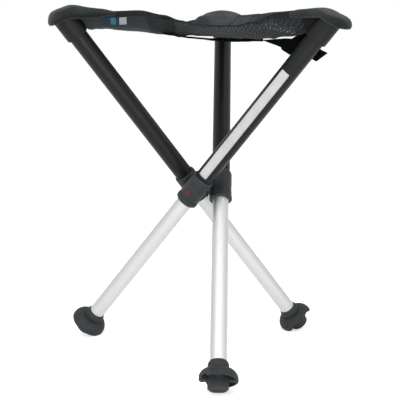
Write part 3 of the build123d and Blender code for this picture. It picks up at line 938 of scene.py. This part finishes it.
# %% Pale strip
STRIP_FROM, STRIP_TO = 0.030, 0.210
STRIP_TURN = (radians(-26), radians(34))
vinyl, shader = mottled(
    "pale_vinyl", (0.56, 0.56, 0.545), (0.66, 0.66, 0.65), (0.4, 0.55), cloud=60, grain=1200, depth=6e-6
)
leg = legs["b"]
strip = bmesh.new()
bmesh.ops.create_grid(strip, x_segments=12, y_segments=60, size=1)
corners = [vert for vert in strip.verts if len(vert.link_edges) == 2]
for vert in corners:
    vert.co.x *= 0.94
    vert.co.y *= 0.995
for vert in strip.verts:
    angle = STRIP_TURN[0] + (STRIP_TURN[1] - STRIP_TURN[0]) * (vert.co.x + 1) / 2
    height = STRIP_FROM + (STRIP_TO - STRIP_FROM) * (vert.co.y + 1) / 2
    vert.co = leg.at((leg.radius + 0.0001) * cos(angle), (leg.radius + 0.0001) * sin(angle), height)
bmesh.ops.recalc_face_normals(strip, faces=strip.faces)
pale_strip = new_piece("pale_strip", strip, vinyl)
thickened(pale_strip, 0.0002, 0.0)
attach(pale_strip, "leg_b")

# %% [markdown]
# A webbing strap passes behind leg b. Its loose tab stands out on the right, and on the left a wide tongue
# reaches towards the seat. From the tongue's point a slack run, seen edge on, goes on under the net and
# turns up to the front hem, where its end is sewn on.

# %% Strap behind the leg
webbing = woven("webbing", (0.0014, 0.0016, 0.0017), (0.0042, 0.0046, 0.0048), 0.0014, 3e-4, 0.0, 0.6)
webbing.node_tree.nodes["Principled BSDF"].inputs["Specular IOR Level"].default_value = 0.05
# Corners as height up the leg and distance to the outer side of it
STRAP_OUTLINE = (
    (0.2089, -0.0592), (0.2312, -0.0368), (0.2375, -0.0290), (0.2499, -0.0247), (0.2560, -0.0205),
    (0.2532, 0.0092), (0.2563, 0.0188), (0.2384, 0.0143), (0.2373, 0.0090), (0.2211, -0.0162),
    (0.2181, -0.0309), (0.2196, -0.0331),
)
tongue = bmesh.new()
back = -leg.radius - 0.0014
outline = [tongue.verts.new((height, across, 0)) for height, across in STRAP_OUTLINE]
face = tongue.faces.new(outline)
bmesh.ops.bevel(
    tongue, geom=outline, offset=0.0009, offset_type="OFFSET", affect="VERTICES",
    segments=2, profile=0.5, material=-1,
)
TONGUE_AREA = sum(face.calc_area() for face in tongue.faces)
bmesh.ops.triangulate(tongue, faces=tongue.faces[:])
bmesh.ops.subdivide_edges(tongue, edges=tongue.edges[:], cuts=4, use_grid_fill=True)
for vert in tongue.verts:
    height, across = vert.co.x, vert.co.y
    curl = 0.0016 * sin(across * 120) ** 2 if across < -0.014 else 0
    vert.co = leg.at(back - curl, across, height)
bmesh.ops.recalc_face_normals(tongue, faces=tongue.faces)
strap = new_piece("closure_strap_webbing", tongue, webbing)
thickened(strap, 0.0014, 0.0)
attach(strap, "leg_b")
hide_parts("closure_strap")

# %% [markdown]
# The slack run is a flat band of the same webbing, seen almost edge on. A grid is laid along a table of
# heights, and its far edge rises a little where the band turns towards the tongue.

# %% Slack run of the strap
RUN_WIDTH = 0.022
# Middle line of the run, seen edge on, as way to the right and height
RUN_HEIGHTS = (
    (-0.040, 0.4256), (-0.0286, 0.4243), (-0.0186, 0.4226), (-0.0061, 0.4212), (0.0064, 0.4203),
    (0.0239, 0.4187), (0.0463, 0.4180), (0.0625, 0.4185), (0.0750, 0.4194), (0.0850, 0.4194),
)
RUN_SIDE = ((-0.040, -0.0640), (0.03, -0.0620), (0.0850, -0.0600))
RUN_TILT = ((-0.040, 0.0004), (0.010, 0.0004), (0.038, 0.0016), (0.085, 0.0022))   # rise of its far edge
run = bmesh.new()
bmesh.ops.create_grid(run, x_segments=60, y_segments=6, size=1)
for vert in run.verts:
    right = RUN_HEIGHTS[0][0] + (RUN_HEIGHTS[-1][0] - RUN_HEIGHTS[0][0]) * (vert.co.x + 1) / 2
    aside = eased(RUN_SIDE, right) + vert.co.y * RUN_WIDTH / 2
    height = eased(RUN_HEIGHTS, right) + eased(RUN_TILT, right) * (0.6 + vert.co.y)
    vert.co = (right, aside, height)
bmesh.ops.recalc_face_normals(run, faces=run.faces)
strap_run = new_piece("closure_strap_run", run, webbing)
rounded(strap_run, 1)
thickened(strap_run, 0.0013, 0.0)
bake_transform(strap_run)

# %% [markdown]
# The strap's end is held by a patch of hem cloth, sewn over the net from the front hem down to the belly.

# %% Patch over the strap's end
PATCH_SHARES, PATCH_DEPTHS = ((0.318, 0.414), (0.332, 0.430)), (0.0020, 0.0260)
sewn_on = bmesh.new()
bmesh.ops.create_grid(sewn_on, x_segments=16, y_segments=14, size=1)
for vert in sewn_on.verts:
    along, down = (vert.co.x + 1) / 2, (vert.co.y + 1) / 2
    first, last = (upper + (lower - upper) * down for upper, lower in zip(*PATCH_SHARES))
    share = first + (last - first) * along
    depth = PATCH_DEPTHS[0] + (PATCH_DEPTHS[1] - PATCH_DEPTHS[0]) * down
    fold = 0.0016 * sin(along * 6 + down * 4)
    vert.co = hems["ab"].at(share, depth - 0.0022 + fold).to_3d()
    vert.co.z = seat_height(hems["ab"].at(share, depth)) - 0.0008
bmesh.ops.recalc_face_normals(sewn_on, faces=sewn_on.faces)
patch = new_piece("strap_patch", sewn_on, tape_cloth)
rounded(patch, 1)
thickened(patch, 0.0009)

# %% [markdown]
# The net, panel and tape pieces get their rounding and thickness; every piece has its transform baked
# into its mesh, and the imported pieces that the seat and hoods stand for are hidden.

NET_THICK, PANEL_THICK = 0.0010, 0.0012
for key in legs:
    rounded(nets[key], 1)
    thickened(nets[key], NET_THICK)
    rounded(panels[key], 1)
    thickened(panels[key], PANEL_THICK)
    rounded(tapes[key], 1)
    for piece in (nets[key], panels[key], tapes[key], stitches[key]):
        follow(piece)
        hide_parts("seat_sling")
    wide, long, area = net_cuts[key]
    wide, long, area = panel_cuts[key]
    follow(hoods[key])
    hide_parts("corner_pocket_" + key)
for piece in (woven_tab, patch):
    follow(piece)
